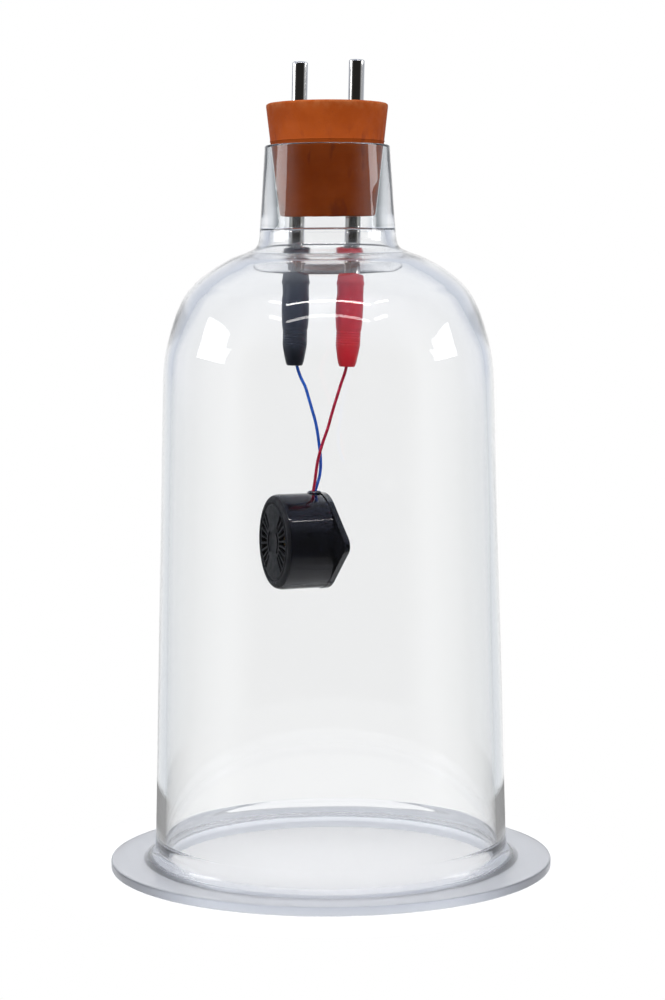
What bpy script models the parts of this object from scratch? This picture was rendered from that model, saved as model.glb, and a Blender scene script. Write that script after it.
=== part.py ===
"""Bell jar with an electric buzzer hung inside it on two leads, for showing that sound needs air.

Origin: centre of the flange's underside. +Z is up and -Y is the front. Lengths are in metres.
"""

import math

import bmesh
import bpy
from mathutils import Euler, Matrix, Vector

MM = 0.001
GAP = 0.3 * MM  # between neighbours that touch on the real object

# Jar
FLANGE_R = 70.5 * MM
FLANGE_T = 2.8 * MM
RIM_Z = 229.0 * MM
JAR_STEPS = 48
BORE_END_Z = 202.2 * MM
WALL_T = 2.9 * MM
SHOULDER_T = 3.9 * MM

# Stopper and rods
STOPPER_TOP_Z = 242.0 * MM
STOPPER_END_Z = 206.0 * MM
STOPPER_TOP_R = 19.35 * MM
STOPPER_END_R = 15.1 * MM
ROD_R = 2.5 * MM
ROD_LEN = 68.2 * MM
ROD_LEAN = math.radians(1.64)
ROD_X = {"left": -8.34 * MM, "right": 9.43 * MM}
ROD_TOP_Z = {"left": 255.1 * MM, "right": 255.7 * MM}

# Crocodile clips, measured in each clip's own frame from the middle of its boot's mouth
CLIP_MOUTH = {"left": (-10.17 * MM, 0, 190.3 * MM), "right": (7.26 * MM, 0, 189.8 * MM)}
CLIP_LEAN = {"left": math.radians(1.12), "right": math.radians(2.7)}
PIVOT_Z = -7.0 * MM
JAW_TIP_Z = 3.6 * MM
JAW_HALF_W = 2.15 * MM
JAW_BACK = 3.3 * MM
SHEET_T = 0.45 * MM
PIN_R = 0.6 * MM
BOOT_LEN = 30.4 * MM
BOOT_FLAT = 1.36  # the boot is this much deeper than it is wide
BOOT_Y = -0.55 * MM

# Leads
LEAD_R = 0.5 * MM
LEAD_SAMPLES = 26

# Buzzer, measured along its own axis from its front face
BUZZER_FACE = (-17.85 * MM, -3.5 * MM, 104.1 * MM)
BUZZER_YAW = math.radians(21.5)
CASE_R = 15.2 * MM
CASE_DEPTH = 17.3 * MM
CASE_WALL = 1.6 * MM
CAVITY_R = 13.6 * MM
BASE_R = 15.4 * MM
BASE_T = 1.8 * MM
EAR_R = 3.0 * MM
EAR_AT = 19.6 * MM
EAR_HOLE_AT = 18.9 * MM
EAR_HOLE_R = 1.7 * MM
LEAD_HOLE_DEPTH = 13.9 * MM
LEAD_HOLE_R = 1.6 * MM


# ---------------------------------------------------------------- set-up

for old in list(bpy.data.objects):
    bpy.data.objects.remove(old, do_unlink=True)

PARTS = bpy.data.collections.new("bell_jar_buzzer")
CUTTERS = bpy.data.collections.new("cutters")
bpy.context.scene.collection.children.link(PARTS)
bpy.context.scene.collection.children.link(CUTTERS)


def material(name, colour, roughness, metallic=0.0, alpha=1.0):
    made = bpy.data.materials.new(name)
    made.use_nodes = True
    shader = made.node_tree.nodes["Principled BSDF"]
    shader.inputs["Base Color"].default_value = (*colour, 1)
    shader.inputs["Roughness"].default_value = roughness
    shader.inputs["Metallic"].default_value = metallic
    shader.inputs["Alpha"].default_value = alpha
    return made


def tidy_mesh(mesh):
    """Sets a closed mesh's faces facing out."""
    work = bmesh.new()
    work.from_mesh(mesh)
    bmesh.ops.remove_doubles(work, verts=work.verts, dist=0.00001)
    bmesh.ops.recalc_face_normals(work, faces=work.faces)
    work.to_mesh(mesh)
    work.free()


def put(name, data, parent=None, location=(0, 0, 0), rotation=(0, 0, 0)):
    made = bpy.data.objects.new(name, data)
    made.parent = parent
    made.location = location
    made.rotation_euler = rotation
    PARTS.objects.link(made)
    return made


def empty(name, parent=None, location=(0, 0, 0), rotation=(0, 0, 0)):
    return put(name, None, parent, location, rotation)


def finish(part, look, smooth=True):
    part.data.materials.append(look)
    if smooth and part.type == "MESH":
        part.data.polygons.foreach_set("use_smooth", [True] * len(part.data.polygons))
    return part


def turned(name, profile, steps, closed=False, **place):
    """A profile of (radius, height) pairs in mm, run down its outer side, turned about Z."""
    points = [(r * MM, 0, z * MM) for r, z in profile]
    edges = [(i, i + 1) for i in range(len(points) - 1)]
    if closed:
        edges.append((len(points) - 1, 0))
    mesh = bpy.data.meshes.new(name)
    mesh.from_pydata(points, edges, [])
    part = put(name, mesh, **place)
    screw = part.modifiers.new("turn", "SCREW")
    screw.axis = "Z"
    screw.steps = steps
    screw.render_steps = steps
    screw.use_merge_vertices = True
    screw.merge_threshold = 0.00001
    screw.use_smooth_shade = True
    return part


def cylinder(name, radius, low, high, sides=24, axis="Z", end_radius=None, **place):
    """A cylinder about one of its frame's axes, from low to high along it."""
    work = bmesh.new()
    bmesh.ops.create_cone(
        work,
        cap_ends=True,
        segments=sides,
        radius1=radius,
        radius2=radius if end_radius is None else end_radius,
        depth=high - low,
    )
    bmesh.ops.translate(work, verts=work.verts, vec=(0, 0, (low + high) / 2))
    turn = {"Z": (0, 0, 0), "X": (0, math.radians(90), 0), "Y": (math.radians(-90), 0, 0)}[axis]
    bmesh.ops.transform(work, verts=work.verts, matrix=Euler(turn).to_matrix().to_4x4())
    mesh = bpy.data.meshes.new(name)
    work.to_mesh(mesh)
    work.free()
    return put(name, mesh, **place)


def box(name, low, high, **place):
    """A box between two corners in mm."""
    work = bmesh.new()
    bmesh.ops.create_cube(work, size=1)
    size = [(b - a) * MM for a, b in zip(low, high)]
    middle = [(a + b) / 2 * MM for a, b in zip(low, high)]
    bmesh.ops.scale(work, verts=work.verts, vec=size)
    bmesh.ops.translate(work, verts=work.verts, vec=middle)
    mesh = bpy.data.meshes.new(name)
    work.to_mesh(mesh)
    work.free()
    return put(name, mesh, **place)


def outline(name, points, low, high, plane="XY", **place):
    """A flat outline in mm, as thick as low to high. plane YZ stands it up, thick along X."""
    curve = bpy.data.curves.new(name, "CURVE")
    curve.dimensions = "2D"
    curve.fill_mode = "BOTH"
    curve.extrude = (high - low) / 2 * MM
    line = curve.splines.new("POLY")
    line.points.add(len(points) - 1)
    for point, (a, b) in zip(line.points, points):
        point.co = (a * MM, b * MM, 0, 1)
    line.use_cyclic_u = True
    drawn = bpy.data.objects.new(name, curve)
    PARTS.objects.link(drawn)
    bpy.context.view_layer.update()
    mesh = bpy.data.meshes.new_from_object(drawn.evaluated_get(bpy.context.evaluated_depsgraph_get()))
    bpy.data.objects.remove(drawn, do_unlink=True)
    bpy.data.curves.remove(curve)
    mesh.transform(Matrix.Translation((0, 0, (low + high) / 2 * MM)))
    if plane == "YZ":
        mesh.transform(Euler((math.radians(90), 0, math.radians(90))).to_matrix().to_4x4())
    tidy_mesh(mesh)
    return put(name, mesh, **place)


def tube(name, points, radius, **place):
    curve = bpy.data.curves.new(name, "CURVE")
    curve.dimensions = "3D"
    curve.bevel_depth = radius
    curve.bevel_resolution = 2
    curve.use_fill_caps = True
    curve.render_resolution_u = 0
    line = curve.splines.new("POLY")
    line.points.add(len(points) - 1)
    for point, place_at in zip(line.points, points):
        point.co = (*place_at, 1)
    line.use_smooth = True
    return put(name, curve, **place)


def boolean(part, tool, operation):
    """Cuts or joins tool, which shares part's frame, and puts it away with the cutters."""
    change = part.modifiers.new(operation.lower(), "BOOLEAN")
    change.operation = operation
    change.solver = "EXACT"
    change.object = tool
    PARTS.objects.unlink(tool)
    CUTTERS.objects.link(tool)
    tool.hide_render = True
    tool.display_type = "WIRE"


def bevel(part, width, angle=40):
    edge = part.modifiers.new("edges", "BEVEL")
    edge.width = width
    edge.segments = 1
    edge.limit_method = "ANGLE"
    edge.angle_limit = math.radians(angle)
    edge.use_clamp_overlap = True


def smooth_route(points, count):
    """count evenly spaced points on a smooth curve through the route, which is in mm."""
    knots = [Vector(p) * MM for p in points]
    knots = [2 * knots[0] - knots[1], *knots, 2 * knots[-1] - knots[-2]]
    fine = []
    for a, b, c, d in zip(knots, knots[1:], knots[2:], knots[3:]):
        for k in range(12):
            t = k / 12
            fine.append(
                0.5 * (2 * b + (c - a) * t + (2 * a - 5 * b + 4 * c - d) * t**2
                       + (3 * b - a - 3 * c + d) * t**3)
            )
    fine.append(knots[-2])
    run = [0.0]
    for a, b in zip(fine, fine[1:]):
        run.append(run[-1] + (b - a).length)
    even = []
    k = 0
    for i in range(count):
        want = run[-1] * i / (count - 1)
        while k < len(run) - 2 and run[k + 1] < want:
            k += 1
        share = (want - run[k]) / (run[k + 1] - run[k])
        even.append(fine[k].lerp(fine[k + 1], min(max(share, 0), 1)))
    return even


# ---------------------------------------------------------------- materials

CLEAR = material("clear_acrylic", (0.9, 0.92, 0.95), 0.06, alpha=0.3)
RUBBER = material("orange_rubber", (0.48, 0.16, 0.05), 0.7)
NICKEL = material("bright_nickel", (0.72, 0.7, 0.67), 0.15, metallic=1)
STEEL = material("clip_steel", (0.62, 0.6, 0.58), 0.3, metallic=1)
SPRING = material("spring_steel", (0.4, 0.4, 0.42), 0.35, metallic=1)
BLACK_PVC = material("black_pvc", (0.03, 0.035, 0.045), 0.5)
RED_PVC = material("red_pvc", (0.55, 0.02, 0.03), 0.5)
BLUE_LEAD = material("blue_insulation", (0.02, 0.08, 0.4), 0.4)
RED_LEAD = material("red_insulation", (0.5, 0.02, 0.05), 0.4)
BLACK_CASE = material("black_case", (0.015, 0.016, 0.02), 0.25)
BRASS = material("diaphragm_brass", (0.75, 0.55, 0.25), 0.3, metallic=1)
CERAMIC = material("piezo_ceramic", (0.75, 0.75, 0.72), 0.4)
SILICONE = material("silicone", (0.6, 0.6, 0.58), 0.6)
BOARD = material("circuit_board", (0.35, 0.24, 0.1), 0.6)
RESIN = material("black_resin", (0.02, 0.02, 0.02), 0.35)
COPPER = material("coil_copper", (0.6, 0.28, 0.14), 0.35, metallic=1)


# ---------------------------------------------------------------- jar

def stopper_radius(z):
    """The stopper's radius in mm at a height in mm."""
    top, end = STOPPER_TOP_Z / MM, STOPPER_END_Z / MM
    share = (z - end) / (top - end)
    return (STOPPER_END_R + (STOPPER_TOP_R - STOPPER_END_R) * share) / MM


def wall_thickness(z):
    """The jar's wall in mm at a height: thicker above the shoulder's bend than down the side."""
    share = min(max((z - 164) / 20, 0), 1)
    return (WALL_T + (SHOULDER_T - WALL_T) * share * share * (3 - 2 * share)) / MM


def inset(line):
    """The points that lie a wall's thickness inside an outer line that runs down."""
    points = []
    for above, here, below in zip(line, line[1:], line[2:]):
        along = (Vector(below) - Vector(above)).normalized()
        inward = Vector((along.y, -along.x))
        points.append(tuple(Vector(here) + inward * wall_thickness(here[1])))
    return points


def make_jar():
    rim = RIM_Z / MM
    edge = FLANGE_R / MM
    thick = FLANGE_T / MM
    seat = GAP / MM
    outside = [
        (19.3, rim), (19.7, rim - 0.4), (19.9, 225), (20.4, 218), (20.8, 211),
        (21.2, 205.5), (21.6, 200), (22.1, 197.6), (23.4, 196.3), (29.4, 194.4),
        (33.0, 192.5), (36.2, 190.6), (38.9, 188.7), (41.2, 186.8), (43.1, 184.9),
        (44.8, 182.9), (46.8, 179.3), (48.4, 175.4), (49.6, 171.5), (50.6, 168.0),
        (51.5, 164.3), (52.1, 160.0), (52.5, 154.5), (53.5, 112), (54.6, 72),
        (55.5, 34), (56.1, 8.5), (56.6, 5.6), (57.9, 3.7), (60.2, thick),
        (edge - 0.6, thick), (edge, thick - 0.6), (edge, 0.6), (edge - 0.6, 0),
    ]
    shell = inset([p for p in outside if 8 < p[1] < 196.4])
    inside = [
        (53.6, 0), (53.2, 0.5), *reversed(shell), (24.4, 192.1), (21.9, 193.4),
        (20.1, 195.1), (19.0, 197.2), (18.4, 199.6), (18.2, BORE_END_Z / MM - 0.4),
        (17.8, BORE_END_Z / MM),
        (stopper_radius(206) + seat, BORE_END_Z / MM),
        (stopper_radius(206) + seat, 206), (stopper_radius(rim - 0.5) + seat, rim - 0.5),
        (stopper_radius(rim) + seat + 0.4, rim),
    ]
    jar = turned("bell_jar", outside + inside, JAR_STEPS, closed=True)
    finish(jar, CLEAR)


# ---------------------------------------------------------------- stopper and rods

def rod_place(side):
    """The middle of a rod's top end and its lean."""
    location = (ROD_X[side], 0, ROD_TOP_Z[side])
    return {"location": location, "rotation": (0, ROD_LEAN, 0)}


def make_stopper():
    top, end = STOPPER_TOP_Z / MM, STOPPER_END_Z / MM
    profile = [
        (0, top), (STOPPER_TOP_R / MM - 0.7, top), (STOPPER_TOP_R / MM - 0.1, top - 0.5),
        (stopper_radius(end + 0.7), end + 0.7), (STOPPER_END_R / MM - 0.6, end), (0, end),
    ]
    stopper = turned("rubber_stopper", profile, 48)
    for side in ("left", "right"):
        hole = cylinder(f"rod_hole_{side}", ROD_R + GAP, -60 * MM, 5 * MM, **rod_place(side))
        boolean(stopper, hole, "DIFFERENCE")
    finish(stopper, RUBBER)


def make_rods():
    length = ROD_LEN / MM
    radius = ROD_R / MM
    profile = [
        (0, 0), (radius - 0.35, 0), (radius, -0.35), (radius, 0.35 - length),
        (radius - 0.35, -length), (0, -length),
    ]
    for side in ("left", "right"):
        finish(turned(f"terminal_rod_{side}", profile, 28, **rod_place(side)), NICKEL)


# ---------------------------------------------------------------- crocodile clips

def jaw_front(back, foot):
    """The side outline of a jaw's toothed front part, as (distance from the rod's axis, z) in mm."""
    tip = JAW_TIP_Z / MM
    points = [(back, foot), (back, tip - 1.1), (back - 0.15, tip), (2.6, tip)]
    z = tip - 0.3
    while z > -3.2:
        points += [(2.25, z), (2.6, z - 0.5)]
        z -= 1.0
    return points + [(2.6, -3.9)]


def jaw_ear(back):
    """The side outline of a jaw's ear, which reaches past the pivot, from the teeth round to the tail."""
    pivot = PIVOT_Z / MM
    points = [(1.4, pivot + 2.2), (0, pivot + 1.7), (-1.2, pivot + 1.2), (-1.7, pivot)]
    return points + [(-1.2, pivot - 1.2), (0, pivot - 1.7), (back, pivot - 2.1)]


def jaw_tail(reach, foot):
    """The side outline of the strip of sheet behind the pivot, out to foot."""
    back = JAW_BACK / MM - 0.15
    sheet = SHEET_T / MM
    points = [(back, -8.3), (reach + sheet, -13), (reach + sheet, foot)]
    return points + [(reach, foot), (reach, -13), (back - 0.25, -8.3)]


def jaw_part(name, sign, points, half, place):
    """A side outline as thick as the jaw is wide there. sign is the jaw's side of the rod."""
    return outline(name, [(sign * y, z) for y, z in points], -half, half, plane="YZ", **place)


def round_corners(jaw, name, sign, half, place):
    """Takes the sharp long edges off the back of a jaw's channel."""
    back = JAW_BACK / MM
    blank = [(-half, -sign * 3), (half, -sign * 3), (half, sign * (back - 0.4))]
    blank += [(half - 0.4, sign * back), (0.4 - half, sign * back), (-half, sign * (back - 0.4))]
    boolean(jaw, outline(f"{name}_blank", blank, -12, 6, **place), "INTERSECT")


def jaw_space(name, sign, half, low, high, place):
    """What a channel leaves open between its two walls."""
    near, far = sorted((-sign * 3.5, sign * (JAW_BACK - SHEET_T) / MM))
    return box(name, (-half, near, low), (half, far, high), **place)


def finish_jaw(jaw, name, sign, reach, foot, place):
    """Adds the lip and the tail, and drills the ears for the pin."""
    tip = JAW_TIP_Z / MM
    near, far = sorted((sign * 2.93, sign * 3.12))
    boolean(jaw, box(f"{name}_lip", (-3.0, near, tip - 1.2), (3.0, far, tip - 0.4), **place), "UNION")
    boolean(jaw, jaw_part(f"{name}_tail", sign, jaw_tail(reach, foot), 1.3, place), "UNION")
    hole = cylinder(f"{name}_hole", PIN_R + GAP, -4 * MM, 4 * MM, sides=16, axis="X")
    hole.parent = place["parent"]
    hole.location = (0, 0, PIVOT_Z + place["location"][2])
    boolean(jaw, hole, "DIFFERENCE")
    finish(jaw, STEEL, smooth=False)


def make_fixed_jaw(name, parent):
    """The back jaw, with its ears outside."""
    place = {"parent": parent, "location": (0, 0, 0)}
    wide = JAW_HALF_W / MM
    back = JAW_BACK / MM
    points = jaw_front(back + 0.5, PIVOT_Z / MM - 2.1)
    jaw = jaw_part(name, 1, points + jaw_ear(back)[:-1], wide + 0.5, place)
    round_corners(jaw, name, 1, wide, place)
    space = jaw_space(f"{name}_channel", 1, wide - SHEET_T / MM, -10, 6, place)
    boolean(jaw, space, "DIFFERENCE")
    finish_jaw(jaw, name, 1, 2.05, -22, place)


def make_moving_jaw(name, parent):
    """The front jaw, with its ears inside the other's. Its origin is on the pivot."""
    place = {"parent": parent, "location": (0, 0, -PIVOT_Z)}
    wide = JAW_HALF_W / MM
    ear = 1.5
    jaw = jaw_part(name, -1, jaw_front(JAW_BACK / MM + 0.5, -3.9), wide + 0.5, place)
    round_corners(jaw, name, -1, wide, place)
    points = [(JAW_BACK / MM - 0.1, -3.3), (2.7, -3.3), *jaw_ear(JAW_BACK / MM - 0.1)]
    boolean(jaw, jaw_part(f"{name}_ear", -1, points, ear, place), "UNION")
    space = jaw_space(f"{name}_channel", -1, wide - SHEET_T / MM, -3.0, 6, place)
    boolean(jaw, space, "DIFFERENCE")
    space = jaw_space(f"{name}_throat", -1, ear - SHEET_T / MM, -10, -2.8, place)
    boolean(jaw, space, "DIFFERENCE")
    finish_jaw(jaw, name, -1, 2.6, -20, place)


def make_pin(name, parent):
    profile = [(0, 2.95), (0.75, 2.95), (1.0, 2.8), (1.0, 2.6), (0.6, 2.6)]
    profile += [(r, -z) for r, z in reversed(profile)]
    turn = (0, math.radians(90), 0)
    pin = turned(name, profile, 16, parent=parent, location=(0, 0, PIVOT_Z), rotation=turn)
    finish(pin, STEEL)


def make_spring(name, parent):
    """Two turns round the pin, with a leg down to each jaw's tail."""
    coil = 1.2
    turns = 2.0
    pitch = 0.6
    first = math.radians(-150)
    points = [(-turns * pitch / 2, -1.9, -6.6)]
    steps = 24
    for i in range(steps + 1):
        angle = first + math.radians(360 * turns + 120) * i / steps
        x = turns * pitch * (i / steps - 0.5)
        points.append((x, coil * math.cos(angle), coil * math.sin(angle)))
    points.append((turns * pitch / 2, 1.35, -7.4))
    metres = [Vector(p) * MM for p in points]
    finish(tube(name, metres, 0.25 * MM, parent=parent, location=(0, 0, PIVOT_Z)), SPRING)


def make_boot(name, parent, look):
    end = -BOOT_LEN / MM
    outside = [
        (3.75, 0), (4.1, -0.5), (4.12, -1.4), (4.4, -2.1), (4.4, -2.8), (4.15, -3.3),
        (4.12, -6), (4.32, -8.9), (4.3, -12.7), (4.05, -16), (3.7, -22), (3.45, -25.2),
        (3.03, end + 2), (2.6, end + 0.5), (2.3, end),
    ]
    inside = [
        (1.5, end), (1.5, end + 1.0), (2.5, end + 4), (2.95, -22.6), (3.3, -17),
        (3.5, -9), (3.5, -0.3), (3.6, 0),
    ]
    boot = turned(name, outside + inside, 28, closed=True, parent=parent, location=(0, BOOT_Y, 0))
    boot.scale = (1, BOOT_FLAT, 1)
    finish(boot, look)


def make_clips():
    for side, look in (("left", BLACK_PVC), ("right", RED_PVC)):
        lean = (0, CLIP_LEAN[side], 0)
        frame = empty(f"clip_{side}_frame", location=CLIP_MOUTH[side], rotation=lean)
        axis = empty(f"clip_{side}_jaw_axis", frame, (0, 0, PIVOT_Z))
        make_fixed_jaw(f"clip_{side}_fixed_jaw", frame)
        make_moving_jaw(f"clip_{side}_moving_jaw", axis)
        make_pin(f"clip_{side}_pivot_pin", frame)
        make_spring(f"clip_{side}_spring", frame)
        make_boot(f"clip_{side}_boot", frame, look)


# ---------------------------------------------------------------- leads

# Each lead runs from inside its clip's boot to inside the buzzer's case, in mm.
BLUE_ROUTE = [
    (-10.3, -0.5, 164.0), (-10.0, -0.5, 160.0), (-8.9, -0.4, 156.4), (-7.4, -0.2, 153.2),
    (-6.4, 0.0, 149.9), (-5.3, 0.25, 146.0), (-4.25, 0.5, 142.2), (-3.55, 0.75, 138.4),
    (-3.05, 1.0, 134.3), (-2.73, 1.25, 131.1), (-2.7, 1.5, 127.9), (-3.06, 1.8, 124.7),
    (-3.9, 2.05, 121.8), (-4.6, 2.2, 119.4), (-4.7, 2.2, 116.6),
]
RED_ROUTE = [
    (5.85, -0.5, 163.6), (5.75, -0.5, 160.0), (5.15, -0.5, 157.4), (3.95, -0.55, 154.0),
    (3.0, -0.65, 151.0), (2.0, -0.75, 147.9), (0.86, -0.8, 144.1), (-0.35, -0.8, 139.9),
    (-1.7, -0.7, 136.1), (-2.87, -0.45, 132.4), (-3.73, -0.15, 128.9), (-4.2, 0.2, 125.8),
    (-4.6, 0.6, 122.9), (-5.15, 0.95, 119.5), (-5.25, 1.0, 116.6),
]


def make_leads():
    for name, route, look in (
        ("lead_wire_blue", BLUE_ROUTE, BLUE_LEAD),
        ("lead_wire_red", RED_ROUTE, RED_LEAD),
    ):
        finish(tube(name, smooth_route(route, LEAD_SAMPLES), LEAD_R), look)


# ---------------------------------------------------------------- buzzer

def base_outline():
    """The case's base plate: a disc with a rounded ear to each side, in mm."""
    disc, ear, at = BASE_R / MM, EAR_R / MM, EAR_AT / MM
    swing = math.degrees(math.acos((disc - ear) / at))
    points = []
    for side in (90, -90):
        middle = (at * math.cos(math.radians(side)), at * math.sin(math.radians(side)))
        for i in range(9):
            a = math.radians(side - swing + 2 * swing * i / 8)
            points.append((middle[0] + ear * math.cos(a), middle[1] + ear * math.sin(a)))
        rest = 180 - 2 * swing
        for i in range(13):
            a = math.radians(side + swing + rest * i / 12)
            points.append((disc * math.cos(a), disc * math.sin(a)))
    return points


def crescent(middle, inner, outer, spread):
    """A ring sector about an angle, in mm and degrees."""
    angles = [math.radians(middle + spread * (i / 8 - 0.5)) for i in range(9)]
    points = [(outer * math.cos(a), outer * math.sin(a)) for a in angles]
    return points + [(inner * math.cos(a), inner * math.sin(a)) for a in reversed(angles)]


def cut_grille(case, frame):
    """Two crescent slots round the middle and two fans of radial slots."""
    for side in (90, -90):
        slot = outline(f"crescent_{side % 360}", crescent(side, 3.7, 4.7, 100), -3, 1, parent=frame)
        boolean(case, slot, "DIFFERENCE")
        for i in range(9):
            angle = side + 12.5 * (i - 4)
            ray = crescent(angle, 5.7, 11.3, 8.5)
            ray = ray[:9:8] + ray[9::8]
            slot = outline(f"ray_{side % 360}_{i}", ray, -3, 1, parent=frame)
            boolean(case, slot, "DIFFERENCE")


def make_case(frame):
    case_r, depth = CASE_R / MM, CASE_DEPTH / MM
    cavity = CAVITY_R / MM
    profile = [
        (0, 0), (11.9, 0), (12.3, -0.35), (12.7, 0), (13.7, -0.05), (14.6, -0.45),
        (15.05, -1.2), (case_r, -2.2), (case_r, -depth), (cavity, -depth),
        (cavity, -5), (12.2, -5), (12.2, -CASE_WALL / MM), (0, -CASE_WALL / MM),
    ]
    case = turned("buzzer_case", profile, 48, parent=frame)
    base = outline("base_plate", base_outline(), -depth, BASE_T / MM - depth, parent=frame)
    boolean(case, base, "UNION")
    low = -CASE_DEPTH
    bore = cylinder("cavity_bore", CAVITY_R + 0.15 * MM, low - MM, low + 3 * MM, 48, parent=frame)
    boolean(case, bore, "DIFFERENCE")
    for side in (1, -1):
        hole = cylinder(
            f"ear_hole_{side + 1}", EAR_HOLE_R, -2 * MM, 2 * MM, parent=frame,
            location=(0, side * EAR_HOLE_AT, -CASE_DEPTH + BASE_T / 2),
        )
        boolean(case, hole, "DIFFERENCE")
    hole = cylinder(
        "lead_hole", LEAD_HOLE_R, 12 * MM, 17 * MM, axis="X", parent=frame,
        location=(0, 0, -LEAD_HOLE_DEPTH),
    )
    boolean(case, hole, "DIFFERENCE")
    cut_grille(case, frame)
    finish(case, BLACK_CASE, smooth=False)


def ring(name, inner, outer, top, bottom, look, frame, steps=40):
    """A flat ring, or a disc if inner is 0, in mm along the buzzer's axis."""
    if inner:
        profile = [(outer, top), (outer, bottom), (inner, bottom), (inner, top)]
    else:
        profile = [(0, top), (outer, top), (outer, bottom), (0, bottom)]
    finish(turned(name, profile, steps, closed=bool(inner), parent=frame), look, smooth=False)


def make_buzzer_insides(frame):
    ring("buzzer_gasket_ring", 12.3, 13.3, -5.3, -5.7, SILICONE, frame)
    ring("buzzer_piezo_plate", 0, 13.3, -6.0, -6.3, BRASS, frame)
    ring("buzzer_piezo_ceramic", 0, 9.5, -6.6, -6.8, CERAMIC, frame)
    ring("buzzer_circuit_board", 0, 12.9, -10.4, -11.4, BOARD, frame)
    ring("buzzer_back_cover", 0, 13.3, -15.5, -16.8, RESIN, frame)
    amplifier = box("buzzer_transistor", (2.5, -6.3, -10.1), (6.0, -1.8, -7.4), parent=frame)
    bevel(amplifier, 0.3 * MM)
    finish(amplifier, RESIN, smooth=False)
    coil = [
        (0, -7.3), (2.6, -7.3), (2.6, -7.8), (1.9, -7.9),
        (1.9, -9.5), (2.6, -9.6), (2.6, -10.1), (0, -10.1),
    ]
    at = (-3.5 * MM, 4.5 * MM, 0)
    finish(turned("buzzer_coil", coil, 24, parent=frame, location=at), COPPER)
    resistor = [
        (0, 1.8), (0.6, 1.7), (0.9, 1.3), (0.8, 0.8),
        (0.8, -0.8), (0.9, -1.3), (0.6, -1.7), (0, -1.8),
    ]
    lie = (math.radians(90), 0, 0)
    at = (-5.5 * MM, -3.5 * MM, -9.1 * MM)
    finish(turned("buzzer_resistor", resistor, 16, parent=frame, location=at, rotation=lie), CERAMIC)


def make_lead_seal(frame):
    """A low bead of glue round the leads where they enter the case."""
    low = CASE_R / MM + 0.3
    profile = [(1.7, low + 0.6), (2.0, low + 0.55), (2.4, low + 0.1), (2.4, low), (1.7, low)]
    turn = (0, math.radians(90), 0)
    at = (0, 0, -LEAD_HOLE_DEPTH)
    seal = turned("buzzer_lead_seal", profile, 20, closed=True, parent=frame, location=at, rotation=turn)
    finish(seal, SILICONE)


def make_buzzer():
    """Its frame's Z points out of the face and its X points up."""
    out = Vector((-math.cos(BUZZER_YAW), -math.sin(BUZZER_YAW), 0))
    up = Vector((0, 0, 1))
    turn = Matrix((up, out.cross(up), out)).transposed()
    frame = empty("buzzer_frame", location=BUZZER_FACE, rotation=turn.to_euler())
    make_case(frame)
    make_buzzer_insides(frame)
    make_lead_seal(frame)


make_jar()
make_stopper()
make_rods()
make_clips()
make_leads()
make_buzzer()
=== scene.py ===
"""Bell jar with an electric buzzer hung inside it on two leads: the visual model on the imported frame.

Lengths in the profiles and routes are in millimetres, and each piece is built in metres in the
frame's own axes: +Z up and -Y to the front.
"""

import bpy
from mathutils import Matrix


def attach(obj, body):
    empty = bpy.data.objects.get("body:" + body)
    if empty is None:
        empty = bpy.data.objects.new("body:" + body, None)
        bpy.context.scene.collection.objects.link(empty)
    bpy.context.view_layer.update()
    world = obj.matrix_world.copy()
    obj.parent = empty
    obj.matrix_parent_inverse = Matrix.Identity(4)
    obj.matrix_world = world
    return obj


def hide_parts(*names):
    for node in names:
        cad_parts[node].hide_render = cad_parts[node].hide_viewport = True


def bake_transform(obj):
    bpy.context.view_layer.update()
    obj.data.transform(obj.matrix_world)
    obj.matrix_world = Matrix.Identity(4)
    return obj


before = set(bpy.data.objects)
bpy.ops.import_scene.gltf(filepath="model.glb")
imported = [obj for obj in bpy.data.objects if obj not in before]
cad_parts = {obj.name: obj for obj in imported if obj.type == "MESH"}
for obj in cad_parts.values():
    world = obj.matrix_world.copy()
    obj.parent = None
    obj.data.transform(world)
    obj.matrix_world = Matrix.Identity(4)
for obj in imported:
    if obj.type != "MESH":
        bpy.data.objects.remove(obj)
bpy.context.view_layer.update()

import math

import bmesh
import bpy
from mathutils import Matrix, Vector, noise

MM = 0.001
SCENE = bpy.context.scene

# Camera and studio
FOCAL_MM = 88.76
CAMERA_AT = (0.00108, -0.7825, 0.1816)
CAMERA_DOWN = math.radians(4.715)
CAMERA_ROLL = math.radians(-0.294)
FLOOR_R = 0.16
FLOOR_GLOW = 0.36
STUDIO_TOP = (0.40, 0.45, 0.60)
STUDIO_TOP_BACK = (0.66, 0.70, 0.78)
STUDIO_HAZE = (0.72, 0.75, 0.82)
STUDIO_FILL = (1.35, 1.35, 1.38)
LAMP_AIM = (0, 0, 0.19)
LAMP_WARMTH = (1.0, 0.97, 0.95)
# (name, place in metres, width and height, radiance, colour). fill isn't mirrored or seen through
LAMPS = (
    ("strip", (0, -0.70, 1.13), (1.15, 0.042), 22, LAMP_WARMTH),
    ("left_wisp", (-0.67, -0.52, 1.11), (0.20, 0.040), 14, LAMP_WARMTH),
    ("right_wisp", (0.67, -0.52, 1.11), (0.20, 0.040), 22, LAMP_WARMTH),
    ("left_box", (-0.97, 0.01, 0.46), (0.46, 0.26), 4.4, (1, 1, 1)),
    ("right_box", (0.97, 0.01, 0.44), (0.36, 0.20), 4.8, (1, 1, 1)),
    ("fill", (0, -1.1, 1.0), (1.8, 0.9), 0.25, (1, 1, 1)),
)
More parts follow.
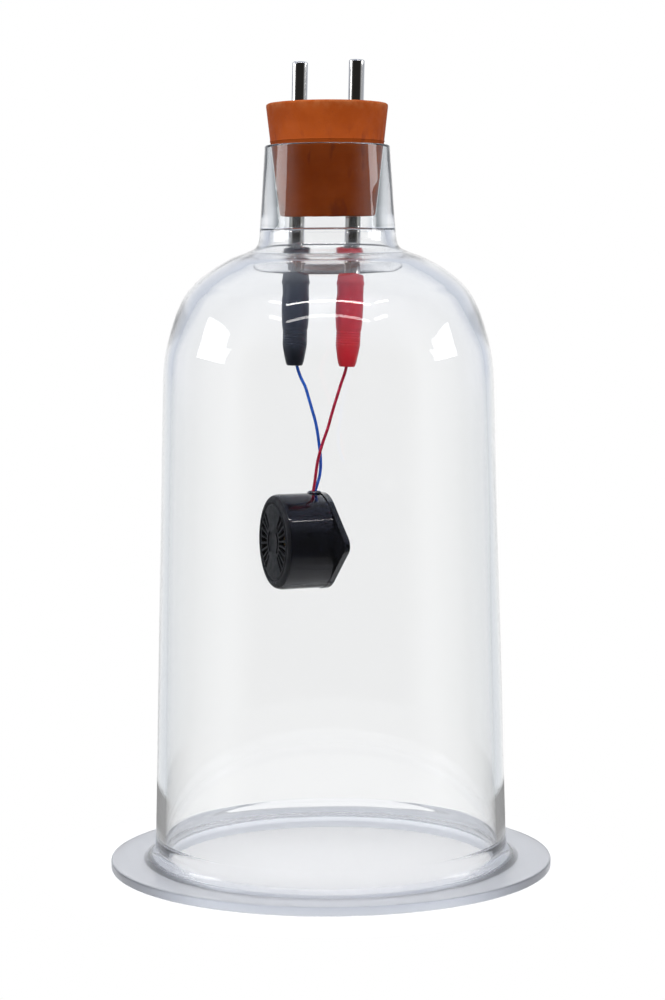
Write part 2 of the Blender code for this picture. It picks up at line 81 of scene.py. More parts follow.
# The studio's brightness around the object: (how far to the back from -1 to 1, colour)
STUDIO_HIGH = (
    (-0.64, (0.022, 0.021, 0.020)), (-0.46, (0.10, 0.10, 0.10)), (-0.34, (0.42, 0.43, 0.45)),
    (0.25, (0.42, 0.44, 0.48)), (0.60, (0.48, 0.51, 0.58)), (0.82, (0.64, 0.68, 0.75)),
    (0.93, (0.80, 0.82, 0.86)), (0.975, (1.0, 1.0, 1.0)),
)
STUDIO_LOW = (
    (-0.64, (0.022, 0.021, 0.020)), (-0.50, (0.16, 0.16, 0.15)), (-0.27, (0.46, 0.47, 0.46)),
    (0.02, (0.34, 0.36, 0.35)), (0.55, (0.27, 0.30, 0.31)), (0.67, (0.46, 0.48, 0.50)),
    (0.77, (0.68, 0.71, 0.73)), (0.93, (0.86, 0.88, 0.90)), (0.975, (1.0, 1.0, 1.0)),
)

# Jar
RIM = 229.0
FLANGE_EDGE = 70.5
FLANGE_THICK = 2.8
BORE_END = 202.2
WALL = 2.9
SHOULDER = 3.9
THICKENS_FROM = 164.0
THICKENS_OVER = 20.0
SEAT = 0.3
JAR_STEPS = 192

# Stopper and rods
STOPPER_TOP = 242.0
STOPPER_END = 206.0
STOPPER_TOP_R = 19.35
STOPPER_END_R = 15.1
ROD_R = 2.5
ROD_LEN = 68.2
ROD_LEAN = math.radians(1.64)
ROD_TOP = {"left": (-8.34, 0, 255.1), "right": (9.43, 0, 255.7)}

# Clips
CLIP_MOUTH = {"left": (-10.17, 0, 190.3), "right": (7.26, 0, 189.8)}
CLIP_LEAN = {"left": math.radians(1.12), "right": math.radians(2.7)}
BOOT_LEN = 30.4
BOOT_FLAT = 1.36
BOOT_Y = -0.55
JAW_HALF_W = 2.15
# Slot, deep colour, pale colour (also the colour of the painted light on the boots' upper part) and colour of
# the scuffs
BOOT_PVC = {
    "left": ("black_pvc", (0.008, 0.011, 0.021), (0.020, 0.028, 0.050), (0.42, 0.44, 0.50)),
    "right": ("red_pvc", (0.78, 0.010, 0.016), (0.80, 0.026, 0.050), (0.95, 0.60, 0.60)),
}
BOOT_PAINTED_LIGHT = (0.168, 0.180)  # the heights in metres between which the boots are painted paler upwards: painted light

# Leads
LEAD_R = 0.5

# Buzzer, whose own Z points out of its face and X points up
BUZZER_FACE = (-17.85, -3.5, 104.1)
BUZZER_YAW = math.radians(21.5)
CASE_R = 15.2
CASE_DEPTH = 17.3
CASE_WALL = 1.6
CAVITY_R = 13.6
BASE_R = 15.4
BASE_T = 1.8
EAR_R = 3.0
EAR_AT = 19.6
EAR_HOLE_AT = 18.9
EAR_HOLE_R = 1.7
LEAD_HOLE_DEPTH = 13.9
LEAD_HOLE_R = 1.6


# ---------------------------------------------------------------- node materials


class Surface:
    """A Principled material whose patterns are made from nodes, in the piece's own coordinates."""

    def __init__(self, name, **fixed):
        self.material = bpy.data.materials.new(name)
        self.material.use_nodes = True
        self.tree = self.material.node_tree
        self.shader = self.tree.nodes["Principled BSDF"]
        for socket, value in fixed.items():
            self.shader.inputs[socket.replace("_", " ")].default_value = value
        self.where = self.node("ShaderNodeTexCoord").outputs["Object"]

    def node(self, kind, inputs=None, **settings):
        made = self.tree.nodes.new(kind)
        for key, value in settings.items():
            setattr(made, key, value)
        for key, value in (inputs or {}).items():
            self.feed(made.inputs[key], value)
        return made

    def feed(self, socket, value):
        if isinstance(value, bpy.types.NodeSocket):
            self.tree.links.new(value, socket)
        else:
            socket.default_value = value

    def set(self, socket, value):
        self.feed(self.shader.inputs[socket], value)

    def stretch(self, x, y, z):
        """The piece's coordinates, scaled along each axis."""
        return self.node("ShaderNodeMapping", {"Vector": self.where, "Scale": (x, y, z)}).outputs[0]

    def noise(self, scale, detail=4.0, where=None, twist=0.0):
        inputs = {"Vector": where or self.where, "Scale": scale, "Detail": detail, "Distortion": twist}
        return self.node("ShaderNodeTexNoise", inputs).outputs[0]

    def cells(self, scale, where=None, feature="F1"):
        inputs = {"Vector": where or self.where, "Scale": scale}
        return self.node("ShaderNodeTexVoronoi", inputs, feature=feature).outputs["Distance"]

    def axis(self, index, where=None):
        return self.node("ShaderNodeSeparateXYZ", {0: where or self.where}).outputs[index]

    def between(self, value, low, high, start=0.0, end=1.0):
        """value's run from low to high, eased, as start to end."""
        inputs = {"Value": value, "From Min": low, "From Max": high, "To Min": start, "To Max": end}
        made = self.node("ShaderNodeMapRange", inputs, interpolation_type="SMOOTHSTEP")
        return made.outputs[0]

    def math(self, operation, a, b=0.0):
        return self.node("ShaderNodeMath", {0: a, 1: b}, operation=operation).outputs[0]

    def mix(self, amount, a, b):
        """Colour a where amount is 0, and b where it is 1."""
        inputs = {0: amount}
        made = self.node("ShaderNodeMix", inputs, data_type="RGBA")
        for socket, value in ((6, a), (7, b)):
            self.feed(made.inputs[socket], (*value, 1) if isinstance(value, tuple) else value)
        return made.outputs[2]

    def bump(self, height, depth, strength=1.0, onto=None):
        inputs = {"Height": height, "Distance": depth, "Strength": strength}
        if onto:
            inputs["Normal"] = onto
        return self.node("ShaderNodeBump", inputs).outputs[0]


def clear_acrylic():
    """Clear moulded plastic, lavender through its length and cloudier in its flange and its neck's
    foot, with hairline scratches and dust. The flange's bluer tint is partly the plastic's own tint
    and partly painted shade of the floor under it."""
    s = Surface("clear_acrylic", Transmission_Weight=1.0, IOR=1.49)
    hair = s.noise(220, 3, s.stretch(1, 1, 0.07), 1.5)
    cross = s.noise(260, 3, s.stretch(0.1, 0.1, 1.2), 2.0)
    hairs = s.math("MAXIMUM", s.between(hair, 0.70, 0.74), s.between(cross, 0.71, 0.75))
    patch = s.between(s.noise(18, 3), 0.45, 0.7)
    scuff = s.math("MULTIPLY", hairs, patch)
    speck = s.between(s.cells(420), 0.045, 0.02)
    worn = s.math("MAXIMUM", scuff, speck)
    height = s.axis(2)
    neck = s.math("MULTIPLY", s.between(height, 0.2030, 0.2060), s.between(height, 0.2270, 0.2230))
    smear = s.between(s.noise(420, 4, s.stretch(1, 1, 0.3), 1.0), 0.62, 0.70)
    fleck = s.between(s.cells(620), 0.13, 0.07)
    used = s.math("MAXIMUM", s.math("MULTIPLY", smear, 0.5), fleck)
    used = s.math("MULTIPLY", used, s.between(s.noise(75, 3), 0.48, 0.62))
    worn = s.math("MAXIMUM", worn, s.math("MULTIPLY", used, neck))
    foot = s.math("MULTIPLY", s.between(height, 0.1905, 0.1945), s.between(height, 0.2030, 0.1985))
    flange = s.between(height, 0.0060, 0.0030)
    cloudy = s.math("MAXIMUM", s.math("MULTIPLY", foot, 0.10), s.math("MULTIPLY", flange, 0.30))
    s.set("Roughness", s.math("MAXIMUM", s.between(worn, 0, 1, 0.0, 0.22), cloudy))
    # partly painted shade: the flange is tinted bluer for the shaded floor seen through it, as well as for
    # its own tint
    clear = s.mix(flange, (0.997, 0.999, 0.997), (0.960, 0.972, 0.998))
    s.set("Base Color", s.mix(speck, clear, (0.9, 0.9, 0.9)))
    s.set("Normal", s.bump(worn, 0.00001, 0.35))
    depth = s.node("ShaderNodeVolumeAbsorption", {"Color": (0.50, 0.585, 0.79, 1), "Density": 6.0})
    s.tree.links.new(depth.outputs[0], s.tree.nodes["Material Output"].inputs["Volume"])
    return s.material


def orange_rubber():
    """Matte natural rubber: mottled, fine grained, paler with bloom at its top edge and scuffed below."""
    s = Surface("orange_rubber", Specular_IOR_Level=0.12)
    cloud = s.between(s.noise(95, 6), 0.3, 0.72)
    colour = s.mix(cloud, (0.360, 0.060, 0.004), (0.440, 0.082, 0.009))
    grit = s.between(s.noise(1900, 2), 0.62, 0.75)
    colour = s.mix(s.math("MULTIPLY", grit, 0.35), colour, (0.20, 0.040, 0.010))
    height = s.axis(2)
    bloom = s.math("MULTIPLY", s.between(height, 0.2385, 0.2418), s.between(s.noise(330, 4), 0.35, 0.7))
    colour = s.mix(s.math("MULTIPLY", bloom, 0.30), colour, (0.62, 0.26, 0.10))
    rub = s.math(
        "MULTIPLY",
        s.between(s.noise(260, 5, s.stretch(1, 1, 0.25)), 0.56, 0.66),
        s.between(height, 0.2355, 0.2300),
    )
    colour = s.mix(s.math("MULTIPLY", rub, 0.5), colour, (0.20, 0.035, 0.012))
    s.set("Base Color", colour)
    s.set("Roughness", s.between(s.noise(420, 4), 0.2, 0.8, 0.55, 0.8))
    grain = s.bump(s.noise(2600, 3), 0.00003, 0.5)
    s.set("Normal", s.bump(cloud, 0.00012, 0.5, grain))
    return s.material


def bright_metal(name, light, dark, rough, line_scale, along=(1, 1, 0.02)):
    """Plated metal with drawn lines along it, faint clouding and a few marks."""
    s = Surface(name, Metallic=1.0)
    cloud = s.between(s.noise(160, 5), 0.35, 0.7)
    spots = s.between(s.cells(520), 0.09, 0.04)
    colour = s.mix(cloud, light, dark)
    s.set("Base Color", s.mix(s.math("MULTIPLY", spots, 0.5), colour, (0.25, 0.22, 0.19)))
    lines = s.noise(line_scale, 2, s.stretch(*along))
    s.set("Roughness", s.between(s.noise(700, 3, s.stretch(*along)), 0.25, 0.8, rough * 0.6, rough * 1.7))
    s.set("Normal", s.bump(lines, 0.000008, 0.35))
    return s.material


def soft_pvc(name, deep, pale, scuff, low, high):
    """Dip-moulded PVC: a little cloudy, satin, with light scuffs and painted light that makes it paler
    upwards. low and high are the heights in metres over which that painted light comes in.
    """
    s = Surface(name, Specular_IOR_Level=0.3)
    cloud = s.between(s.noise(140, 5), 0.3, 0.75)
    colour = s.mix(cloud, deep, pale)
    # painted light: above a fixed height the boot is mixed towards its pale colour, as if lit from above
    upper = s.between(s.axis(2), low, high)
    colour = s.mix(s.math("MULTIPLY", upper, 0.4), colour, pale)
    streak = s.between(s.noise(520, 4, s.stretch(1, 1, 0.22), 0.8), 0.66, 0.74)
    nick = s.between(s.cells(360), 0.10, 0.03)
    mark = s.math("MULTIPLY", s.math("MAXIMUM", streak, nick), s.between(s.noise(70, 2), 0.44, 0.62))
    s.set("Base Color", s.mix(s.math("MULTIPLY", mark, 0.6), colour, scuff))
    s.set("Roughness", s.between(s.noise(300, 4), 0.25, 0.75, 0.34, 0.56))
    skin = s.bump(s.noise(1500, 3), 0.00002, 0.4)
    s.set("Normal", s.bump(s.noise(240, 2), 0.00015, 0.35, skin))
    return s.material


def wire_pvc(name, deep, pale):
    """Glossy lead insulation with slight drawing lines and fingermarks."""
    s = Surface(name, Specular_IOR_Level=0.5, Coat_Weight=0.15)
    s.set("Base Color", s.mix(s.between(s.noise(520, 4), 0.3, 0.7), deep, pale))
    s.set("Roughness", s.between(s.noise(900, 3), 0.3, 0.75, 0.22, 0.42))
    s.set("Normal", s.bump(s.noise(1500, 2, s.stretch(1, 1, 0.15)), 0.00002, 0.3))
    return s.material


def case_plastic(out, face_at):
    """Blue-black ABS: polished sides, a matt face, hairlines and grey dust. out is the face's normal."""
    s = Surface("black_case", Specular_IOR_Level=0.42)
    cloud = s.between(s.noise(120, 5), 0.3, 0.7)
    colour = s.mix(cloud, (0.0036, 0.0042, 0.0080), (0.0070, 0.0082, 0.0140))
    dust = s.math("MULTIPLY", s.between(s.noise(2300, 3), 0.6, 0.78), s.between(s.noise(65, 3), 0.45, 0.7))
    colour = s.mix(s.math("MULTIPLY", dust, 0.2), colour, (0.14, 0.14, 0.17))
    hair = s.between(s.noise(420, 3, s.stretch(0.12, 0.12, 1.3), 1.5), 0.70, 0.74)
    s.set("Base Color", s.mix(s.math("MULTIPLY", hair, 0.25), colour, (0.09, 0.09, 0.11)))
    reach = s.node("ShaderNodeVectorMath", {0: s.where, 1: tuple(out)}, operation="DOT_PRODUCT")
    face = s.between(reach.outputs["Value"], face_at - 0.0011, face_at - 0.0005)
    polish = s.between(s.noise(230, 4), 0.3, 0.75, 0.05, 0.11)
    matt = s.between(s.noise(500, 4), 0.3, 0.75, 0.50, 0.66)
    inputs = {0: face, 2: polish, 3: matt}
    s.set("Roughness", s.node("ShaderNodeMix", inputs).outputs[0])
    spark = s.math("MULTIPLY", s.noise(4200, 2), face)
    s.set("Normal", s.bump(spark, 0.00003, 0.6, s.bump(s.noise(900, 2), 0.000005, 0.15)))
    return s.material


def plain_stuff(name, light, dark, rough, scale=600, depth=0.00002, **fixed):
    """A mottled, grained material for the small inner parts."""
    s = Surface(name, **fixed)
    s.set("Base Color", s.mix(s.between(s.noise(scale, 5), 0.3, 0.7), light, dark))
    s.set("Roughness", s.between(s.noise(scale * 1.7, 3), 0.3, 0.7, rough * 0.8, rough * 1.25))
    s.set("Normal", s.bump(s.noise(scale * 3, 3), depth, 0.5))
    return s.material


def floor_white():
    """Pale table with a painted shadow under the object: inside the object's foot it has only a weak glow,
    and just outside the foot it fades to plain white glow.
    """
    s = Surface("studio_floor", Roughness=0.9, Specular_IOR_Level=0.1)
    grain = s.between(s.noise(900, 3), 0.3, 0.7)
    s.set("Base Color", s.mix(grain, (0.80, 0.80, 0.80), (0.82, 0.82, 0.82)))
    s.shader.inputs["Emission Color"].default_value = (1, 1, 1, 1)
    s.shader.inputs["Emission Strength"].default_value = FLOOR_GLOW
    mirrored = s.math("MINIMUM", s.node("ShaderNodeLightPath").outputs["Glossy Depth"], 1.0)
    strength = s.math("SUBTRACT", 1.0, s.math("MULTIPLY", mirrored, 0.65))
    glow = s.node("ShaderNodeEmission", {"Color": (1, 1, 1, 1), "Strength": strength})
    # painted shadow: a fixed disc under the object's foot keeps the weak glow, and the floor beyond it glows
    # plain white
    flat = s.node("ShaderNodeVectorMath", {0: s.where}, operation="LENGTH").outputs["Value"]
    mixed = s.node("ShaderNodeMixShader", {0: s.between(flat, 0.066, 0.095)})
    s.tree.links.new(s.shader.outputs[0], mixed.inputs[1])
    s.tree.links.new(glow.outputs[0], mixed.inputs[2])
    s.tree.links.new(mixed.outputs[0], s.tree.nodes["Material Output"].inputs["Surface"])
    return s.material


# ---------------------------------------------------------------- shapes


def bspline(points, per=6):
    """A smooth line of (r, z) points near a run of control points, starting and ending on its ends."""
    knots = [Vector(p) for p in points]
    knots = [2 * knots[0] - knots[1], *knots, 2 * knots[-1] - knots[-2]]
    line = []
    for a, b, c, d in zip(knots, knots[1:], knots[2:], knots[3:]):
        for k in range(per):
            t = k / per
            line.append(
                ((1 - t) ** 3 * a + (3 * t**3 - 6 * t**2 + 4) * b
                 + (-3 * t**3 + 3 * t**2 + 3 * t + 1) * c + t**3 * d) / 6
            )
    return [tuple(p) for p in line] + [tuple(points[-1])]


def rounded(points, steps=4):
    """A line whose points (r, z, radius) are rounded where their radius is above 0."""
    line = []
    for i, (r, z, radius) in enumerate(points):
        here = Vector((r, z))
        if radius <= 0 or i in (0, len(points) - 1):
            line.append((r, z))
            continue
        back = (Vector(points[i - 1][:2]) - here).normalized() * radius
        on = (Vector(points[i + 1][:2]) - here).normalized() * radius
        for k in range(steps + 1):
            t = k / steps
            line.append(tuple(here + back * (1 - t) ** 2 + on * t**2))
    return line


def braced(points, longest=1.5, end=0.12):
    """Adds a point just inside each end of a long flat, so that smooth shading keeps it flat."""
    line = []
    for a, b in zip(points, points[1:] + points[:1]):
        line.append(a)
        run = Vector(b) - Vector(a)
        if run.length > longest:
            step = run.normalized() * end
            line += [tuple(Vector(a) + step), tuple(Vector(b) - step)]
    return line


def inset(points):
    """The line that lies a wall's thickness inside an outer line, which runs down."""
    line = []
    for a, here, b in zip(points, points[1:], points[2:]):
        along = (Vector(b) - Vector(a)).normalized()
        line.append(tuple(Vector(here) + Vector((along.y, -along.x)) * wall_thickness(here[1])))
    return line


def wall_thickness(z):
    """The jar's wall in mm at a height: thicker above the shoulder's bend than down the side."""
    share = min(max((z - THICKENS_FROM) / THICKENS_OVER, 0), 1)
    return WALL + (SHOULDER - WALL) * share * share * (3 - 2 * share)


def new_mesh(name, work, angle=35):
    """An object with the bmesh's mesh, smooth but for its sharp edges."""
    bmesh.ops.recalc_face_normals(work, faces=work.faces)
    mesh = bpy.data.meshes.new(name)
    work.to_mesh(mesh)
    work.free()
    made = bpy.data.objects.new(name, mesh)
    SCENE.collection.objects.link(made)
    smooth_by_angle(mesh, angle)
    return made


def smooth_by_angle(mesh, angle):
    mesh.polygons.foreach_set("use_smooth", [True] * len(mesh.polygons))
    mesh.set_sharp_from_angle(angle=math.radians(angle))


def lathe(name, profile, steps, closed=False, nudge=None, place=Matrix(), angle=35):
    """Turns (r, z) points in mm about Z. nudge(r, z, a) gives a point's new r and z."""
    work = bmesh.new()
    rings = []
    for r, z in profile:
        if r < 1e-6:
            rings.append([work.verts.new((0, 0, z * MM))])
            continue
        ring = []
        for k in range(steps):
            a = 2 * math.pi * k / steps
            rr, zz = nudge(r, z, a) if nudge else (r, z)
            ring.append(work.verts.new((rr * math.cos(a) * MM, rr * math.sin(a) * MM, zz * MM)))
        rings.append(ring)
    pairs = list(zip(rings, rings[1:]))
    if closed:
        pairs.append((rings[-1], rings[0]))
    for low, high in pairs:
        for k in range(steps):
            n = (k + 1) % steps
            corners = [low[k % len(low)], low[n % len(low)], high[n % len(high)], high[k % len(high)]]
            kept = [v for i, v in enumerate(corners) if v not in corners[:i]]
            if len(kept) > 2:
                work.faces.new(kept)
    bmesh.ops.transform(work, verts=work.verts, matrix=place)
    return new_mesh(name, work, angle)


def prism(name, points, low, high, place=Matrix(), lean=0.0):
    """A flat outline in mm between two heights. lean draws the upper outline in towards its middle."""
    work = bmesh.new()
    middle = Vector((sum(p[0] for p in points), sum(p[1] for p in points))) / len(points)
    drawn = [Vector(p) + (middle - Vector(p)).normalized() * lean for p in points]
    bottom = [work.verts.new((p[0] * MM, p[1] * MM, low * MM)) for p in points]
    top = [work.verts.new((p.x * MM, p.y * MM, high * MM)) for p in drawn]
    work.faces.new(list(reversed(bottom)))
    work.faces.new(top)
    for i in range(len(points)):
        n = (i + 1) % len(points)
        work.faces.new((bottom[i], bottom[n], top[n], top[i]))
    bmesh.ops.transform(work, verts=work.verts, matrix=place)
    return new_mesh(name, work)


def modified(piece, *changes, angle=35):
    """Applies (type, settings) modifiers to a mesh, and leaves none on it."""
    for kind, settings in changes:
        change = piece.modifiers.new(kind.lower(), kind)
        for key, value in settings.items():
            setattr(change, key, value)
    bpy.context.view_layer.update()
    done = bpy.data.meshes.new_from_object(piece.evaluated_get(bpy.context.evaluated_depsgraph_get()))
    piece.modifiers.clear()
    old = piece.data
    piece.data = done
    bpy.data.meshes.remove(old)
    smooth_by_angle(done, angle)
    return piece


def cut(piece, tools, operation="DIFFERENCE", after=(), angle=35):
    """Booleans with each tool, then removes the tools."""
    changes = [("BOOLEAN", {"operation": operation, "solver": "EXACT", "object": t}) for t in tools]
    modified(piece, *changes, *after, angle=angle)
    for tool in tools:
        bpy.data.objects.remove(tool, do_unlink=True)
    return piece


def tube(name, path, radius, sides=16, swell=None):
    """A closed mesh tube along points in metres."""
    work = bmesh.new()
    rings = []
    side = Vector((1, 0, 0))
    for i, point in enumerate(path):
        ahead = path[min(i + 1, len(path) - 1)] - path[max(i - 1, 0)]
        ahead.normalize()
        side = (side - ahead * side.dot(ahead)).normalized()
        other = ahead.cross(side)
        size = radius * (swell(i / (len(path) - 1)) if swell else 1)
        ring = []
        for k in range(sides):
            a = 2 * math.pi * k / sides
            ring.append(work.verts.new(point + (side * math.cos(a) + other * math.sin(a)) * size))
        rings.append(ring)
    for low, high in zip(rings, rings[1:]):
        for k in range(sides):
            n = (k + 1) % sides
            work.faces.new((low[k], low[n], high[n], high[k]))
    work.faces.new(list(reversed(rings[0])))
    work.faces.new(rings[-1])
    return new_mesh(name, work, 60)


def smooth_route(points, count):
    """count evenly spaced points in metres on a smooth curve through a route in mm."""
    knots = [Vector(p) * MM for p in points]
    knots = [2 * knots[0] - knots[1], *knots, 2 * knots[-1] - knots[-2]]
    fine = []
    for a, b, c, d in zip(knots, knots[1:], knots[2:], knots[3:]):
        for k in range(12):
            t = k / 12
            fine.append(
                0.5 * (2 * b + (c - a) * t + (2 * a - 5 * b + 4 * c - d) * t**2
                       + (3 * b - a - 3 * c + d) * t**3)
            )
    fine.append(knots[-2])
    run = [0.0]
    for a, b in zip(fine, fine[1:]):
        run.append(run[-1] + (b - a).length)
    even = []
    k = 0
    for i in range(count):
        want = run[-1] * i / (count - 1)
        while k < len(run) - 2 and run[k + 1] < want:
            k += 1
        share = (want - run[k]) / (run[k + 1] - run[k])
        even.append(fine[k].lerp(fine[k + 1], min(max(share, 0), 1)))
    return even


def settle(piece, look, body, slot, *nodes):
    """Gives a piece its material, its body and the CAD nodes that it stands for, which it hides. slot is not
    used.
    """
    piece.data.materials.clear()
    piece.data.materials.append(look)
    if body:
        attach(piece, body)
    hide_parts(*nodes)
    return piece


def dress(node, look):
    """Gives a carried-over CAD node a better material."""
    held = bpy.data.objects[node]
    for place in held.material_slots:
        place.material = look


def node_copy(node, name):
    """A separate mesh with a CAD node's shape, to be worked on."""
    mesh = bpy.data.objects[node].data.copy()
    mesh.name = name
    made = bpy.data.objects.new(name, mesh)
    SCENE.collection.objects.link(made)
    return made


def ripple(x, y, z, seed=0.0):
    """Smooth noise from -1 to 1 at a point."""
    return noise.noise(Vector((x + seed, y - seed * 0.7, z + seed * 1.3)))


# ---------------------------------------------------------------- camera and studio


def make_camera():
    data = bpy.data.cameras.new("camera")
    data.lens = FOCAL_MM
    data.sensor_width = 36
    data.clip_start = 0.05
    data.clip_end = 20
    camera = bpy.data.objects.new("camera", data)
    SCENE.collection.objects.link(camera)
    tilt = Matrix.Rotation(math.radians(90) - CAMERA_DOWN, 4, "X")
    camera.matrix_world = Matrix.Translation(CAMERA_AT) @ tilt @ Matrix.Rotation(CAMERA_ROLL, 4, "Z")
    SCENE.camera = camera


def make_world():
    """The studio as the pieces mirror it: an unlit room in front, grey at the sides and a white
    screen behind. Where the screen is seen directly or straight through the jar it is plain white."""
    world = bpy.data.worlds.new("studio")
    SCENE.world = world
    world.use_nodes = True
    tree = world.node_tree

    def node(kind, inputs, **settings):
        made = tree.nodes.new(kind)
        for key, value in settings.items():
            setattr(made, key, value)
        for key, value in inputs.items():
            if isinstance(value, bpy.types.NodeSocket):
                tree.links.new(value, made.inputs[key])
            else:
                made.inputs[key].default_value = value
        return made

    def ease(value, low, high):
        inputs = {"Value": value, "From Min": low, "From Max": high}
        return node("ShaderNodeMapRange", inputs, interpolation_type="SMOOTHSTEP").outputs[0]

    def blend(amount, a, b):
        rows = {6: a, 7: b}
        inputs = {0: amount} | {k: (*v, 1) if isinstance(v, tuple) else v for k, v in rows.items()}
        return node("ShaderNodeMix", inputs, data_type="RGBA").outputs[2]

    def math_of(operation, a, b):
        return node("ShaderNodeMath", {0: a, 1: b}, operation=operation).outputs[0]

    def ramp(value, stops):
        made = node("ShaderNodeValToRGB", {0: math_of("MULTIPLY", math_of("ADD", value, 1.0), 0.5)})
        band = made.color_ramp
        while len(band.elements) < len(stops):
            band.elements.new(0.5)
        for element, (at, colour) in zip(band.elements, stops):
            element.position = (at + 1) / 2
            element.color = (*colour, 1)
        return made.outputs[0]

    where = tree.nodes.new("ShaderNodeTexCoord").outputs["Generated"]
    _, y, z = node("ShaderNodeSeparateXYZ", {0: where}).outputs
    sky = blend(ease(z, 0.02, -0.05), ramp(y, STUDIO_HIGH), ramp(y, STUDIO_LOW))
    top = blend(ease(y, -0.1, 0.5), STUDIO_TOP, STUDIO_TOP_BACK)
    sky = blend(ease(z, 0.30, 0.75), sky, top)
    path = tree.nodes.new("ShaderNodeLightPath").outputs
    deep = math_of("GREATER_THAN", math_of("ADD", path["Glossy Depth"], path["Diffuse Depth"]), 1.5)
    sky = blend(math_of("MULTIPLY", deep, 0.75), sky, STUDIO_HAZE)
    lit = math_of("MULTIPLY", math_of("MINIMUM", path["Diffuse Depth"], 1.0), ease(z, 0.0, 0.25))
    sky = blend(math_of("MULTIPLY", lit, ease(y, 0.3, -0.2)), sky, STUDIO_FILL)
    ahead = math_of("MULTIPLY", path["Is Transmission Ray"], ease(y, 0.93, 0.965))
    seen = math_of("MAXIMUM", path["Is Camera Ray"], ahead)
    back = tree.nodes["Background"]
    tree.links.new(blend(seen, sky, (1.0, 1.0, 1.0)), back.inputs["Color"])


def softbox(name, at, aim, size, radiance, colour):
    """An area light at a place in metres, facing a point."""
    data = bpy.data.lights.new(name, "AREA")
    data.shape = "RECTANGLE"
    data.size, data.size_y = size
    data.energy = radiance * math.pi * size[0] * size[1]
    data.color = colour
    lamp = bpy.data.objects.new(name, data)
    SCENE.collection.objects.link(lamp)
    lamp.location = at
    lamp.rotation_euler = (Vector(aim) - Vector(at)).to_track_quat("-Z", "Y").to_euler()
    lamp.visible_camera = False
    return lamp


def make_studio():
    floor = lathe("floor", [(0, -0.2), *[(FLOOR_R / MM * k / 6, -0.2) for k in range(1, 7)]], 64)
    floor.data.materials.append(floor_white())
    make_world()
    for name, at, size, radiance, colour in LAMPS:
        lamp = softbox(name, at, LAMP_AIM, size, radiance, colour)
        lamp.visible_glossy = lamp.visible_transmission = name != "fill"
    SCENE.view_settings.view_transform = "Standard"


# ---------------------------------------------------------------- leads

BLUE_ROUTE = [
    (-10.3, -0.5, 164.0), (-10.0, -0.5, 160.0), (-8.9, -0.4, 156.4), (-7.4, -0.2, 153.2),
    (-6.4, 0.0, 149.9), (-5.3, 0.25, 146.0), (-4.25, 0.5, 142.2), (-3.55, 0.75, 138.4),
    (-3.05, 1.0, 134.3), (-2.73, 1.25, 131.1), (-2.7, 1.5, 127.9), (-3.06, 1.8, 124.7),
    (-3.9, 2.05, 121.8), (-4.6, 2.2, 119.4), (-4.7, 2.2, 116.6),
]
RED_ROUTE = [
    (5.85, -0.5, 163.6), (5.75, -0.5, 160.0), (5.15, -0.5, 157.4), (3.95, -0.55, 154.0),
    (3.0, -0.65, 151.0), (2.0, -0.75, 147.9), (0.86, -0.8, 144.1), (-0.35, -0.8, 139.9),
    (-1.7, -0.7, 136.1), (-2.87, -0.45, 132.4), (-3.73, -0.15, 128.9), (-4.2, 0.2, 125.8),
    (-4.6, 0.6, 122.9), (-5.15, 0.95, 119.5), (-5.25, 1.0, 116.6),
]


def make_leads():
    for name, route, look in (
        ("blue", BLUE_ROUTE, wire_pvc("blue_insulation", (0.012, 0.10, 0.62), (0.03, 0.17, 0.80))),
        ("red", RED_ROUTE, wire_pvc("red_insulation", (0.46, 0.006, 0.035), (0.62, 0.014, 0.07))),
    ):
        path = smooth_route(route, 110)
        lead = tube(f"lead_{name}", path, LEAD_R * MM)
        settle(lead, look, None, f"{name}_insulation", f"lead_wire_{name}")
        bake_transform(lead)


# ---------------------------------------------------------------- jar


def stopper_radius(z):
    share = (z - STOPPER_END) / (STOPPER_TOP - STOPPER_END)
    return STOPPER_END_R + (STOPPER_TOP_R - STOPPER_END_R) * share


def jar_nudge(r, z, a):
    """Slight unevenness of the moulding: a ragged rim, and a wall that varies a little in thickness."""
    x, y = math.cos(a), math.sin(a)
    if z > RIM - 0.3:
        return r, z + 0.05 * ripple(9 * x, 9 * y, 3, 5) - 0.05
    if r < 53 and 30 < z < 196 and r > 24:
        return r + 0.035 * ripple(6 * x, 6 * y, z / 60, 2), z
    return r, z


